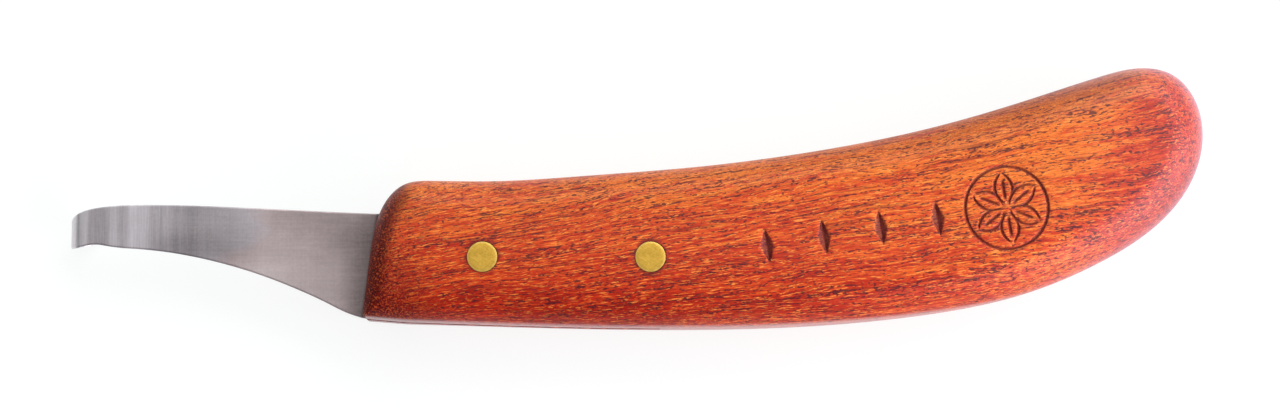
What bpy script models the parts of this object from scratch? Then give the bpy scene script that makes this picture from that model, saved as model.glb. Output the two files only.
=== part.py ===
"""A farrier's hoof knife lying on its side: hooked blade with its tang, slotted handle, two brass pins.

+X runs from the hook to the butt, +Y to the blade's spine and +Z up from the side that the knife lies on.
The origin is on that side, under the middle of the knife. Dimensions are in millimetres, and MM makes
them metres where a mesh is written or an object is placed.
"""

import math

import bmesh
import bpy
import numpy as np
from mathutils import Vector
from mathutils.geometry import interpolate_bezier

MM = 0.001

# Driving dimensions
HANDLE_THICKNESS = 20.0
MID_PLANE = HANDLE_THICKNESS / 2  # height of the blade's own middle plane
FIT_GAP = 0.1  # clearance all round the tang and the pins
TANG_THICKNESS = 2.2
HOOK_THICKNESS = 1.15
EDGE_THICKNESS = 0.25
BEVEL_WIDTH = 3.2
EASED_CORNER = 0.2  # how far the steel's long corners are broken

# Handle: the sharp lower front corner, then points anticlockwise along the bottom, butt, top and front.
# Each is (x, y, radius of the rounding between the flat side and the edge there).
HANDLE_CORNER = (-48.9, -21.6, 4.6)
HANDLE_OUTLINE = [
    (-41.5, -22.25, 5.4),
    (-28.0, -22.7, 6.2),
    (-10.0, -23.2, 6.5),
    (11.0, -23.35, 6.5),
    (33.0, -22.6, 6.5),
    (50.5, -20.9, 7.0),
    (69.0, -17.2, 7.5),
    (83.3, -11.35, 8.0),
    (93.6, -4.6, 8.0),
    (99.4, 2.6, 8.0),
    (101.7, 10.4, 7.8),
    (100.35, 17.7, 7.5),
    (96.2, 22.3, 7.2),
    (90.2, 23.4, 7.0),
    (83.3, 21.9, 7.0),
    (69.0, 17.25, 6.8),
    (51.0, 12.1, 6.5),
    (33.0, 8.45, 6.2),
    (11.0, 5.45, 6.0),
    (-10.0, 3.75, 6.0),
    (-25.0, 2.85, 6.0),
    (-36.5, 2.85, 5.6),
    (-41.5, 2.15, 5.0),
    (-45.4, -1.9, 4.7),
    (-47.1, -7.5, 4.6),
    (-48.2, -16.0, 4.6),
]
OUTLINE_STEPS = 4  # steps between two points of the outline
ROUNDING_STEPS = 5  # steps round each long edge

# Pins: a brass rod whose ends are peened out into shallow countersinks, and ground flush with the wood
PIN_CENTRES = {"front_pin": (-27.4, -11.3), "rear_pin": (2.4, -11.3)}
PIN_RADIUS = 2.38
PIN_HEAD_RADIUS = 2.7
PIN_HEAD_DEPTH = 0.7
PIN_FLUSH_DEPTH = 0.03  # the ground ends lie this far under the wood
HOLE_OVERSHOOT = 1.0  # how far a hole's cutter stands out of the wood
ROUND_SEGMENTS = 32

# Blade: its spine and its cutting edge along the developed length, from the handle to the hook's end
SPINE = [
    (-47.7, -2.7),
    (-60.7, -2.1),
    (-75.0, -1.4),
    (-87.7, -1.05),
    (-95.6, -1.3),
    (-100.0, -2.15),
    (-104.1, -3.75),
    (-109.7, -4.6),
]
EDGE = [
    (-49.4, -21.4),
    (-51.6, -20.7),
    (-55.7, -18.75),
    (-60.7, -16.45),
    (-67.9, -13.65),
    (-75.1, -11.5),
    (-82.3, -9.95),
    (-89.5, -9.05),
    (-95.0, -8.5),
    (-97.5, -8.15),
    (-100.8, -8.65),
    (-104.4, -8.5),
    (-109.7, -7.2),
]
NECK_X, HEEL_X = SPINE[0][0], EDGE[0][0]  # where the spine and the edge come out of the handle
BLADE_CURVE_STEPS = 6
BEVEL_RUN_IN = 8.0  # length over which the bevel grows from the heel

# Bends of the blade, away from the flat outer face: a gentle one, then the hook
BEND_START_X = -77.8
BEND_LENGTH = 20.7
BEND_ANGLE = math.radians(6.0)
HOOK_RADIUS = 3.2 + HOOK_THICKNESS / 2  # of the middle of the strip
HOOK_ANGLE = math.radians(169.0)
HOOK_TIP_LENGTH = 0.6  # the hook's end is rounded over this length

# Tang: from the neck to behind the rear pin, its lower edge flush with the bottom of the handle
TANG_END_X = 15.0
TANG_TOP_REAR_Y = -4.2
TANG_TOP_RADIUS = 4.0
TANG_BOTTOM_RADIUS = 11.0

# Chip-carved ornament on the upper side: lozenges in a row, then a rosette in a ring
ORNAMENT_START = Vector((23.6, -9.3))
ORNAMENT_SLOPE = math.radians(9.1)
CUT_DEPTH = 0.6
CUT_OVERSHOOT = 0.3  # how far an ornament cutter stands out of the wood
LOZENGE_COUNT = 4
LOZENGE_PITCH = 10.2
LOZENGE_HALF_HEIGHT = 3.4
LOZENGE_HALF_WIDTH = 1.2
ROSETTE_DISTANCE = 44.5
PETAL_COUNT = 6
PETAL_INNER, PETAL_OUTER = 0.6, 6.6  # distances of a petal's ends from the rosette's centre
PETAL_HALF_WIDTH = 1.0
PETAL_SHARES = (-1, -0.75, -0.4, 0, 0.4, 0.75)  # points of a petal's side, as shares of its half length
RING_RADIUS = 7.6
RING_HALF_WIDTH = 0.35


def make_material(name, colour, roughness, metallic):
    """A plain Principled material."""
    material = bpy.data.materials.new(name)
    material.use_nodes = True
    shader = material.node_tree.nodes["Principled BSDF"]
    shader.inputs["Base Color"].default_value = (*colour, 1.0)
    shader.inputs["Roughness"].default_value = roughness
    shader.inputs["Metallic"].default_value = metallic
    return material


def spaced(first, last, count):
    """Evenly spaced numbers after first, up to and including last."""
    return [first + (last - first) * i / count for i in range(1, count + 1)]


def spline(points, steps):
    """Points of a curve through the given points whose direction and curvature change smoothly."""
    knots = np.array(points)
    gaps = np.linalg.norm(np.diff(knots, axis=0), axis=1)
    count = len(knots)
    weights = np.zeros((count, count))
    rises = np.zeros_like(knots)
    weights[0, :2] = 2, 1
    rises[0] = 3 * (knots[1] - knots[0]) / gaps[0]
    weights[-1, -2:] = 1, 2
    rises[-1] = 3 * (knots[-1] - knots[-2]) / gaps[-1]
    for i in range(1, count - 1):
        before, after = 1 / gaps[i - 1], 1 / gaps[i]
        weights[i, i - 1 : i + 2] = before, 2 * (before + after), after
        rises[i] = 3 * ((knots[i] - knots[i - 1]) * before**2 + (knots[i + 1] - knots[i]) * after**2)
    tangents = np.linalg.solve(weights, rises)
    curve = [Vector(knots[0])]
    for i, gap in enumerate(gaps):
        start_handle = knots[i] + tangents[i] * gap / 3
        end_handle = knots[i + 1] - tangents[i + 1] * gap / 3
        curve += interpolate_bezier(knots[i], start_handle, end_handle, knots[i + 1], steps + 1)[1:]
    return curve


def height_on(curve, x):
    """The y at x of a curve that never turns back along X, held beyond its ends."""
    ordered = sorted(curve, key=lambda p: p.x)
    return float(np.interp(x, [p.x for p in ordered], [p.y for p in ordered]))


def inward_normals(loop):
    """For each corner of an anticlockwise loop, how far its inset moves for each millimetre of inset."""
    normals = []
    for i, point in enumerate(loop):
        arriving = (point - loop[i - 1]).normalized()
        leaving = (loop[(i + 1) % len(loop)] - point).normalized()
        first = Vector((-arriving.y, arriving.x))
        second = Vector((-leaving.y, leaving.x))
        normals.append((first + second) / (1 + first.dot(second)))
    return normals


def finish_mesh(name, shape):
    """The mesh of a bmesh given in millimetres, smooth but for its sharp edges."""
    bmesh.ops.recalc_face_normals(shape, faces=shape.faces)
    bmesh.ops.scale(shape, vec=(MM, MM, MM), verts=shape.verts)
    mesh = bpy.data.meshes.new(name)
    shape.to_mesh(mesh)
    shape.free()
    mesh.shade_smooth()
    mesh.set_sharp_from_angle(angle=math.radians(30))
    return mesh


def loft(name, rings):
    """A solid through rings of the same number of points, capped at its ends."""
    shape = bmesh.new()
    loops = [[shape.verts.new(point) for point in ring] for ring in rings]
    for lower, upper in zip(loops, loops[1:]):
        for i in range(len(lower)):
            j = (i + 1) % len(lower)
            shape.faces.new((lower[i], lower[j], upper[j], upper[i]))
    shape.faces.new(reversed(loops[0]))
    shape.faces.new(loops[-1])
    return finish_mesh(name, shape)


def turned(name, profile, closed=False):
    """A solid turned about Z from a profile of (radius, z): closed, or starting and ending on the axis."""
    shape = bmesh.new()
    verts = [shape.verts.new((radius, 0, z)) for radius, z in profile]
    edges = [shape.edges.new(pair) for pair in zip(verts, verts[1:])]
    if closed:
        edges.append(shape.edges.new((verts[-1], verts[0])))
    bmesh.ops.spin(
        shape,
        geom=verts + edges,
        cent=(0, 0, 0),
        axis=(0, 0, 1),
        angle=2 * math.pi,
        steps=ROUND_SEGMENTS,
        use_merge=True,
    )
    bmesh.ops.remove_doubles(shape, verts=shape.verts, dist=0.001)
    return finish_mesh(name, shape)


def add_part(name, mesh, material, x=0.0, y=0.0):
    """A visible piece of the knife."""
    if not mesh.materials:
        mesh.materials.append(material)
    obj = bpy.data.objects.new(name, mesh)
    obj.location = (x * MM, y * MM, 0)
    bpy.context.scene.collection.objects.link(obj)
    return obj


def add_cutter(name, mesh, collection, x=0.0, y=0.0, z=0.0, turn=0.0):
    """A helper that is only there to cut."""
    obj = bpy.data.objects.new(name, mesh)
    obj.location = (x * MM, y * MM, z * MM)
    obj.rotation_euler.z = turn
    obj.hide_render = True
    obj.display_type = "WIRE"
    collection.objects.link(obj)
    return obj


def cut_with(obj, cutter):
    """Cuts one object out of another."""
    modifier = obj.modifiers.new(cutter.name, "BOOLEAN")
    modifier.operation = "DIFFERENCE"
    modifier.object = cutter


def cut_with_all(obj, cutters):
    """Cuts every object of a collection out of an object."""
    modifier = obj.modifiers.new(cutters.name, "BOOLEAN")
    modifier.operation = "DIFFERENCE"
    modifier.operand_type = "COLLECTION"
    modifier.collection = cutters


def handle_loop():
    """The handle's outline as an anticlockwise loop of (x, y, rounding radius)."""
    return [Vector(HANDLE_CORNER), *spline(HANDLE_OUTLINE, OUTLINE_STEPS)]


def make_handle_mesh():
    """The outline given its thickness, its long edges rounded by the radius that each point has."""
    loop = handle_loop()
    normals = inward_normals([p.xy for p in loop])
    turns = [0.0, *spaced(0.0, math.radians(90), ROUNDING_STEPS)]
    rings = []
    for side, angles in ((-1, reversed(turns)), (1, turns)):
        for angle in angles:
            ring = []
            for point, normal in zip(loop, normals):
                radius = point.z
                inset = point.xy + normal * radius * (1 - math.cos(angle))
                rise = MID_PLANE - radius * (1 - math.sin(angle))
                ring.append((*inset, MID_PLANE + side * rise))
            rings.append(ring)
    return loft("handle", rings)


def pin_profile(gap=0.0, overshoot=0.0):
    """The profile of a peened pin, or with a gap and an overshoot that of its hole."""
    low = PIN_FLUSH_DEPTH
    high = HANDLE_THICKNESS - PIN_FLUSH_DEPTH
    shank, head = PIN_RADIUS + gap, PIN_HEAD_RADIUS + gap
    profile = [
        (0, low - overshoot),
        (head, low - overshoot),
        (head, low),
        (shank, low + PIN_HEAD_DEPTH),
        (shank, high - PIN_HEAD_DEPTH),
        (head, high),
        (head, high + overshoot),
        (0, high + overshoot),
    ]
    return list(dict.fromkeys(profile))


def tang_top(x):
    """The y of the tang's upper edge, which slopes to a rounded rear corner."""
    front_y = SPINE[0][1]
    slope = (TANG_TOP_REAR_Y - front_y) / (TANG_END_X - NECK_X)
    into_corner = max(0.0, x - (TANG_END_X - TANG_TOP_RADIUS))
    drop = TANG_TOP_RADIUS - math.sqrt(TANG_TOP_RADIUS**2 - into_corner**2)
    return front_y + slope * (x - NECK_X) - drop


def tang_bottom(x):
    """The y of the tang's lower edge, flush with the handle until it rises round its rear corner."""
    underside = handle_loop()[: 5 * OUTLINE_STEPS]
    flush = height_on(underside, x) + EASED_CORNER / 2
    into_corner = max(0.0, x - (TANG_END_X - TANG_BOTTOM_RADIUS))
    return flush + TANG_BOTTOM_RADIUS - math.sqrt(TANG_BOTTOM_RADIUS**2 - into_corner**2)


def tang_stations():
    """Places along the tang, from its end to the heel, closer together where its rear corners are round."""
    around = [TANG_END_X - TANG_BOTTOM_RADIUS * (1 - math.cos(t)) for t in spaced(0, math.pi / 2, 7)]
    return [TANG_END_X, *around, *spaced(around[-1], NECK_X, 6)]


def make_slot_mesh():
    """The saw kerf for the tang: blind above and behind, open in front and below."""
    beyond = 12.0  # the cutter's reach in front of the handle and below it
    stations = tang_stations()
    front_x, floor_y = HANDLE_CORNER[0] - beyond, HANDLE_CORNER[1] - beyond
    foot_x = TANG_END_X - TANG_BOTTOM_RADIUS + FIT_GAP
    outline = [(x + FIT_GAP, tang_top(x) + FIT_GAP) for x in stations]
    outline += [(front_x, tang_top(NECK_X) + FIT_GAP), (front_x, floor_y), (foot_x, floor_y)]
    outline += [(x + FIT_GAP, tang_bottom(x)) for x in reversed(stations) if x + FIT_GAP > foot_x]
    half = TANG_THICKNESS / 2 + FIT_GAP
    return loft("slot", [[(x, y, MID_PLANE + z) for x, y in outline] for z in (-half, half)])


def bend(length):
    """Where a place on the blade's developed length lies: x, z, and the angle turned from -X towards -Z."""
    along = BEND_START_X - length
    if along <= 0:
        return length, MID_PLANE, 0.0
    x, z, turn = BEND_START_X, MID_PLANE, 0.0
    for radius, angle in ((BEND_LENGTH / BEND_ANGLE, BEND_ANGLE), (HOOK_RADIUS, HOOK_ANGLE)):
        step = min(along / radius, angle)
        x -= radius * (math.sin(turn + step) - math.sin(turn))
        z -= radius * (math.cos(turn) - math.cos(turn + step))
        turn += step
        along -= step * radius
        if along <= 0:
            return x, z, turn
    return x - along * math.cos(turn), z - along * math.sin(turn), turn


def blade_section(length, spine_y, edge_y):
    """One cross-section of the strip: a flat outer face, and a bevel ground into the inner face."""
    hook_start = BEND_START_X - BEND_LENGTH
    taper = min(1.0, max(0.0, (length - hook_start) / (HEEL_X - hook_start)))
    half = (HOOK_THICKNESS + (TANG_THICKNESS - HOOK_THICKNESS) * taper) / 2
    ground = min(1.0, max(0.0, (HEEL_X - length) / BEVEL_RUN_IN))
    bevel = EASED_CORNER + (BEVEL_WIDTH - EASED_CORNER) * ground
    bevel = min(bevel, 0.6 * (spine_y - edge_y))
    blunt = 2 * half - EASED_CORNER
    edge_thickness = blunt + (EDGE_THICKNESS - blunt) * ground
    corners = [
        (spine_y - EASED_CORNER, half),
        (edge_y + EASED_CORNER / 2, half),
        (edge_y, half - EASED_CORNER / 2),
        (edge_y, half - edge_thickness),
        (edge_y + bevel, -half),
        (spine_y - EASED_CORNER, -half),
        (spine_y, EASED_CORNER - half),
        (spine_y, half - EASED_CORNER),
    ]
    x, z, turn = bend(length)
    return [(x - out * math.sin(turn), y, z + out * math.cos(turn)) for y, out in corners]


def make_blade_mesh():
    """Tang, blade and hook in one strip of steel."""
    spine, edge = spline(SPINE, BLADE_CURVE_STEPS), spline(EDGE, BLADE_CURVE_STEPS)
    sections = [blade_section(x, tang_top(x), tang_bottom(x)) for x in tang_stations()]
    hook_start = BEND_START_X - BEND_LENGTH
    hook_end = hook_start - HOOK_RADIUS * HOOK_ANGLE
    lengths = [HEEL_X, *spaced(HEEL_X, BEND_START_X, 12)]
    lengths += spaced(BEND_START_X, hook_start, 6) + spaced(hook_start, hook_end, 16)
    sections += [blade_section(x, height_on(spine, x), height_on(edge, x)) for x in lengths]
    top, bottom = height_on(spine, hook_end), height_on(edge, hook_end)
    for angle in spaced(0, math.radians(75), 3):
        narrowing = (top - bottom) / 2 * (1 - math.cos(angle))
        length = hook_end - HOOK_TIP_LENGTH * math.sin(angle)
        sections.append(blade_section(length, top - narrowing, bottom + narrowing))
    return loft("blade", sections)


def chip(name, rim, valley):
    """The cutter of one chip: its rim as points at the wood's surface, and its valley as two points."""
    spread = 1 + CUT_OVERSHOOT / CUT_DEPTH
    centre = sum((Vector(p) for p in rim), Vector((0, 0))) / len(rim)
    shape = bmesh.new()
    for point in rim:
        shape.verts.new((*(centre + (Vector(point) - centre) * spread), CUT_OVERSHOOT))
    for point in valley:
        shape.verts.new((*point, -CUT_DEPTH))
    bmesh.ops.convex_hull(shape, input=shape.verts)
    return finish_mesh(name, shape)


def make_lozenge_mesh():
    """A tall lozenge, with its valley along its long axis."""
    tall, wide = LOZENGE_HALF_HEIGHT, LOZENGE_HALF_WIDTH
    rim = [(0, tall), (-wide, 0), (0, -tall), (wide, 0)]
    return chip("lozenge", rim, [(0, tall - wide), (0, wide - tall)])


def make_petal_mesh():
    """A pointed petal whose sides are parabolas, along +X from the rosette's centre."""
    middle, half_length = (PETAL_INNER + PETAL_OUTER) / 2, (PETAL_OUTER - PETAL_INNER) / 2
    rim = []
    for side in (1, -1):
        for share in PETAL_SHARES:
            rim.append((middle + side * share * half_length, side * PETAL_HALF_WIDTH * (1 - share**2)))
    return chip("petal", rim, [(middle - half_length / 2, 0), (middle + half_length / 2, 0)])


def make_ring_mesh():
    """A V-shaped groove round the rosette."""
    half = RING_HALF_WIDTH * (1 + CUT_OVERSHOOT / CUT_DEPTH)
    inner, outer = (RING_RADIUS - half, CUT_OVERSHOOT), (RING_RADIUS + half, CUT_OVERSHOOT)
    return turned("ring", [inner, (RING_RADIUS, -CUT_DEPTH), outer], closed=True)


def make_ornament_cutters():
    """Everything that the ornament cuts away."""
    cutters = bpy.data.collections.new("ornament_cutters")
    cutters.hide_render = True
    bpy.context.scene.collection.children.link(cutters)
    forward = Vector((math.cos(ORNAMENT_SLOPE), math.sin(ORNAMENT_SLOPE)))
    lozenge, petal = make_lozenge_mesh(), make_petal_mesh()
    for i in range(LOZENGE_COUNT):
        x, y = ORNAMENT_START + forward * LOZENGE_PITCH * i
        add_cutter(f"lozenge_cutter_{i + 1}", lozenge, cutters, x, y, HANDLE_THICKNESS, ORNAMENT_SLOPE)
    x, y = ORNAMENT_START + forward * ROSETTE_DISTANCE
    for i in range(PETAL_COUNT):
        turn = ORNAMENT_SLOPE + math.pi / 2 + 2 * math.pi * i / PETAL_COUNT
        add_cutter(f"petal_cutter_{i + 1}", petal, cutters, x, y, HANDLE_THICKNESS, turn)
    add_cutter("ring_cutter", make_ring_mesh(), cutters, x, y, HANDLE_THICKNESS)
    return cutters


def main():
    for obj in list(bpy.data.objects):
        bpy.data.objects.remove(obj)
    scene = bpy.context.scene.collection
    wood = make_material("oiled_redwood", (0.46, 0.10, 0.035), 0.35, 0.0)
    steel = make_material("satin_steel", (0.56, 0.54, 0.55), 0.32, 1.0)
    brass = make_material("satin_brass", (0.72, 0.53, 0.16), 0.30, 1.0)

    handle = add_part("handle", make_handle_mesh(), wood)
    blade = add_part("blade", make_blade_mesh(), steel)
    cut_with(handle, add_cutter("slot_cutter", make_slot_mesh(), scene))
    pin = turned("pin", pin_profile())
    hole = turned("pin_hole", pin_profile(FIT_GAP, HOLE_OVERSHOOT))
    for name, (x, y) in PIN_CENTRES.items():
        add_part(name, pin, brass, x, y)
        hole_cutter = add_cutter(f"{name}_hole_cutter", hole, scene, x, y)
        cut_with(handle, hole_cutter)
        cut_with(blade, hole_cutter)
    cut_with_all(handle, make_ornament_cutters())


main()
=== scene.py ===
"""Looks of a farrier's hoof knife on its side: oiled redwood handle, satin steel blade and brass pins.

+X runs from the hook to the butt, +Y to the blade's spine and +Z up from the side that the knife lies on.
Dimensions are in millimetres, and MM makes them metres where a mesh is written or an object is placed.
The four pieces repeat the CAD model's dimensions with a finer surface.
"""

import math

import bmesh
import bpy
import numpy as np
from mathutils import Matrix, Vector
from mathutils.geometry import delaunay_2d_cdt, interpolate_bezier


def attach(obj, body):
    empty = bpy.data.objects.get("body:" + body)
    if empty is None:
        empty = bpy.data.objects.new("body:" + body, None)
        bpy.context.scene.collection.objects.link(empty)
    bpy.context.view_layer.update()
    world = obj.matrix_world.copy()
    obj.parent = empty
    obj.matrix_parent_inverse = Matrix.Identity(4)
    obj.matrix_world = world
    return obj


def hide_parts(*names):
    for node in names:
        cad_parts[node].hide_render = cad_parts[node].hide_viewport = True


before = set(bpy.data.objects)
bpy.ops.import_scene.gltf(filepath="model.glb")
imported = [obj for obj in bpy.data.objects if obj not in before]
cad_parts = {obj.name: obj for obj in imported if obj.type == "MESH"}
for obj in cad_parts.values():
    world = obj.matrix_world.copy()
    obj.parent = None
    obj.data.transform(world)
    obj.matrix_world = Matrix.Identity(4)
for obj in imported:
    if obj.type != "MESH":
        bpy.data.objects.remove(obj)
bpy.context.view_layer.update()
MM = 0.001
SAME_PLACE = 0.001  # points closer together than this are made one
SHARP_ANGLE = math.radians(30)  # an edge that turns by more than this stays crisp

# Driving dimensions, as in the CAD model
HANDLE_THICKNESS = 20.0
MID_PLANE = HANDLE_THICKNESS / 2
FIT_GAP = 0.1
TANG_THICKNESS = 2.2
HOOK_THICKNESS = 1.15
EDGE_THICKNESS = 0.25
BEVEL_WIDTH = 3.2
EASED_CORNER = 0.2

# Handle: the sharp lower front corner, then points anticlockwise along the bottom, butt, top and front.
# Each is (x, y, radius of the rounding between the flat side and the edge there).
HANDLE_CORNER = (-48.9, -21.6, 4.6)
HANDLE_OUTLINE = [
    (-41.5, -22.25, 5.4),
    (-28.0, -22.7, 6.2),
    (-10.0, -23.2, 6.5),
    (11.0, -23.35, 6.5),
    (33.0, -22.6, 6.5),
    (50.5, -20.9, 7.0),
    (69.0, -17.2, 7.5),
    (83.3, -11.35, 8.0),
    (93.6, -4.6, 8.0),
    (99.4, 2.6, 8.0),
    (101.7, 10.4, 7.8),
    (100.35, 17.7, 7.5),
    (96.2, 22.3, 7.2),
    (90.2, 23.4, 7.0),
    (83.3, 21.9, 7.0),
    (69.0, 17.25, 6.8),
    (51.0, 12.1, 6.5),
    (33.0, 8.45, 6.2),
    (11.0, 5.45, 6.0),
    (-10.0, 3.75, 6.0),
    (-25.0, 2.85, 6.0),
    (-36.5, 2.85, 5.6),
    (-41.5, 2.15, 5.0),
    (-45.4, -1.9, 4.7),
    (-47.1, -7.5, 4.6),
    (-48.2, -16.0, 4.6),
]
OUTLINE_STEPS = 14  # steps between two points of the outline
ROUNDING_STEPS = 14  # steps round each long edge
SIDE_STEPS = 4  # rows of faces up the straight part of the edge
CORNER_BEVEL, CORNER_STEPS = 0.8, 5  # the rounding of the sharp front corner
SHOULDER_REACH = 12.0  # how far in from the outline the sanded shoulder begins
SHOULDER_DROP = (0.15, 0.75)  # its fall at the outline, at the smallest and at the largest rounding radius
UNDERSIDE_SPANS = 5  # spans of the outline that the tang's lower edge follows
COARSE_GRID = 1.5  # pitch of the points on the flat sides
FINE_GRID = 0.16  # their pitch where the ornament is cut
SHALLOWEST_CUT = 0.004  # the fine points lie where the ornament is deeper than this
RING_CLEARANCE = 0.12  # how far grid points keep from the innermost ring of the rounding

# Pins
PIN_CENTRES = {"front_pin": (-27.4, -11.3), "rear_pin": (2.4, -11.3)}
PIN_RADIUS = 2.38
PIN_HEAD_RADIUS = 2.7
PIN_HEAD_DEPTH = 0.7
PIN_FLUSH_DEPTH = 0.03
PIN_RIM = [(0.12, 0.01), (0.03, 0.035), (0.0, 0.1)]  # its broken rim: how far in and how far down
PIN_FLAT_SHARE = 0.6  # share of the head's radius inside which its end is flat
HOLE_OVERSHOOT = 1.0  # how far a hole's cutter stands out of the wood
ROUND_SEGMENTS = 96

# Blade: its spine and its cutting edge along the developed length, from the handle to the hook's end
SPINE = [
    (-47.7, -2.7),
    (-60.7, -2.1),
    (-75.0, -1.4),
    (-87.7, -1.05),
    (-95.6, -1.3),
    (-100.0, -2.15),
    (-104.1, -3.75),
    (-109.7, -4.6),
]
EDGE = [
    (-49.4, -21.4),
    (-51.6, -20.7),
    (-55.7, -18.75),
    (-60.7, -16.45),
    (-67.9, -13.65),
    (-75.1, -11.5),
    (-82.3, -9.95),
    (-89.5, -9.05),
    (-95.0, -8.5),
    (-97.5, -8.15),
    (-100.8, -8.65),
    (-104.4, -8.5),
    (-109.7, -7.2),
]
NECK_X, HEEL_X = SPINE[0][0], EDGE[0][0]  # where the spine and the edge come out of the handle
BLADE_CURVE_STEPS = 12
BEVEL_RUN_IN = 8.0  # length over which the bevel grows from the heel
BEVEL_SHARE, FACET_SHARE = 0.6, 0.3  # the most of the strip's width that the bevel and the facet take
SECTION_CORNER_STEPS = 4  # steps round each corner of a cross-section
SUPPORT_GAP = 0.35  # the points that keep the flats flat stand this far from a rounding
ROUNDING_SHARE, SUPPORT_SHARE = 0.3, 0.15  # the most of a side that a rounding and that gap take
FACET_WIDTH, FACET_DEPTH = 0.30, 0.13  # the narrow facet that the whetstone leaves on the outer face
BEND_START_X = -77.8
BEND_LENGTH = 20.7
BEND_ANGLE = math.radians(6.0)
HOOK_RADIUS = 3.2 + HOOK_THICKNESS / 2  # of the middle of the strip
HOOK_ANGLE = math.radians(169.0)
HOOK_TIP_LENGTH = 0.6  # the hook's end is rounded over this length
HOOK_TIP_ANGLE = math.radians(84.0)  # short of a right angle, so the last cross-section keeps some width
FLAT_STEPS, BEND_STEPS, HOOK_STEPS, TIP_STEPS = 50, 36, 84, 9  # cross-sections of the blade

# Tang
TANG_END_X = 15.0
TANG_TOP_REAR_Y = -4.2
TANG_TOP_RADIUS = 4.0
TANG_BOTTOM_RADIUS = 11.0
TANG_CORNER_STEPS, TANG_STEPS = 14, 24
SLOT_OVERSHOOT = 12.0  # how far the slot's cutter stands out of the wood

# Chip-carved ornament on the upper side: lozenges in a row, then a rosette in a ring
ORNAMENT_START = Vector((23.0, -9.4))
ORNAMENT_SLOPE = math.radians(9.1)
CUT_DEPTH = 0.6
LOZENGE_COUNT = 4
LOZENGE_PITCH = 10.2
LOZENGE_HALF_HEIGHT = 3.4
LOZENGE_HALF_WIDTH = 1.35
ROSETTE_DISTANCE = 43.0
PETAL_COUNT = 6
PETAL_INNER, PETAL_OUTER = 0.5, 6.5
PETAL_HALF_WIDTH = 1.55
RIB_INNER, RIB_OUTER = 1.3, 5.3
RING_RADIUS = 7.35
GROOVE_HALF_WIDTH = 0.36
GROOVE_DEPTH = 0.45
CARVING_WEAR = 0.05  # how softly the cuts' rims and valleys are rounded
NARROWEST_CUT = 0.02  # half the width at which a cut ends
ORNAMENT_MARGIN = 1.0  # carved points are looked for this far beyond the ring, twice that before the start

# Wood colours
WOOD_TONES = [
    (0.25, (0.34, 0.010, 0.003)),
    (0.42, (0.52, 0.028, 0.005)),
    (0.56, (0.68, 0.076, 0.009)),
    (0.72, (0.80, 0.180, 0.018)),
]
LIGHT_FIBRE = (1.0, 0.33, 0.055, 1)
DULL_FIBRE = (0.22, 0.008, 0.003, 1)
DARK_SEAM = (0.15, 0.010, 0.005, 1)
DARK_PORE = (0.045, 0.006, 0.012, 1)
SOAKED_AND_SHADED_WOOD = (0.115, 0.006, 0.006, 1)
END_GRAIN_SPECK = (0.62, 0.11, 0.025, 1)
END_GRAIN_HOLLOW = (0.02, 0.003, 0.004, 1)
OLD_OIL_AND_SHADE = (0.10, 0.010, 0.010, 1)
LILAC_SHEEN = (1.0, 0.75, 1.0, 1)

# Metal colours, and how bright the steel is from the handle (0) to the hook's bend (1): its polish with
# painted reflections, and painted shade by the handle
STEEL_TONE_START_X, STEEL_TONE_END_X = -48.0, -102.4
STEEL_POLISH_AND_REFLECTION = [(0.0, 0.19), (0.05, 0.26), (0.10, 0.33), (0.20, 0.455), (0.35, 0.65), (0.47, 0.40)]
STEEL_POLISH_AND_REFLECTION += [(0.57, 0.29), (0.64, 0.34), (0.69, 0.44), (0.74, 0.68), (0.79, 0.78), (0.82, 0.58)]
STEEL_POLISH_AND_REFLECTION += [(0.85, 0.72), (0.88, 0.50), (0.91, 0.44), (0.93, 0.58), (0.94, 0.92), (0.96, 1.0)]
STEEL_POLISH_AND_REFLECTION += [(0.97, 0.36), (0.98, 0.86)]
COOL_STEEL = [(0.0, (0.20, 0.18, 0.19)), (0.5, (0.57, 0.53, 0.56)), (1.0, (0.94, 0.90, 0.94))]
WARM_STEEL = [(0.0, (0.21, 0.17, 0.17)), (0.5, (0.60, 0.495, 0.50)), (1.0, (0.96, 0.84, 0.84))]
HANDLE_JOINT_SHADE = (0.07, 0.045, 0.04, 1)
BRASS_TONES = [(0.35, (0.68, 0.39, 0.05)), (0.65, (0.95, 0.61, 0.11))]
RIM_BRASS = (1.0, 0.74, 0.22, 1)

# Camera and studio
CAMERA_LENS = 100.0
CAMERA_SENSOR = 36.0
CAMERA_ELEVATION = math.radians(84.0)
CAMERA_TARGET = Vector((0.54, -1.94, 10.0))
CAMERA_DISTANCE = 640.0
FLOOR_HALF_SIZE = 1500.0
FLOOR_COLOUR = (0.235, 0.265, 0.252, 1)
FLOOR_GLOW = 0.79  # light that the table gives off, as a light table does
CEILING_GREYS = [(0.0, 0.10), (0.30, 0.30), (0.60, 0.56), (1.0, 0.54)]  # from level (0) to overhead (1)
# Each softbox: name, place, width, height, power in watts and colour
SOFTBOXES = [
    ("key", (500, 850, 800), 1500, 1000, 12.5, (1.0, 1.0, 1.0)),
    ("side", (330, -210, 150), 560, 400, 2.8, (1.0, 0.90, 1.0)),
]


def spaced(first, last, count):
    """Evenly spaced numbers after first, up to and including last."""
    return [first + (last - first) * i / count for i in range(1, count + 1)]


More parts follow.
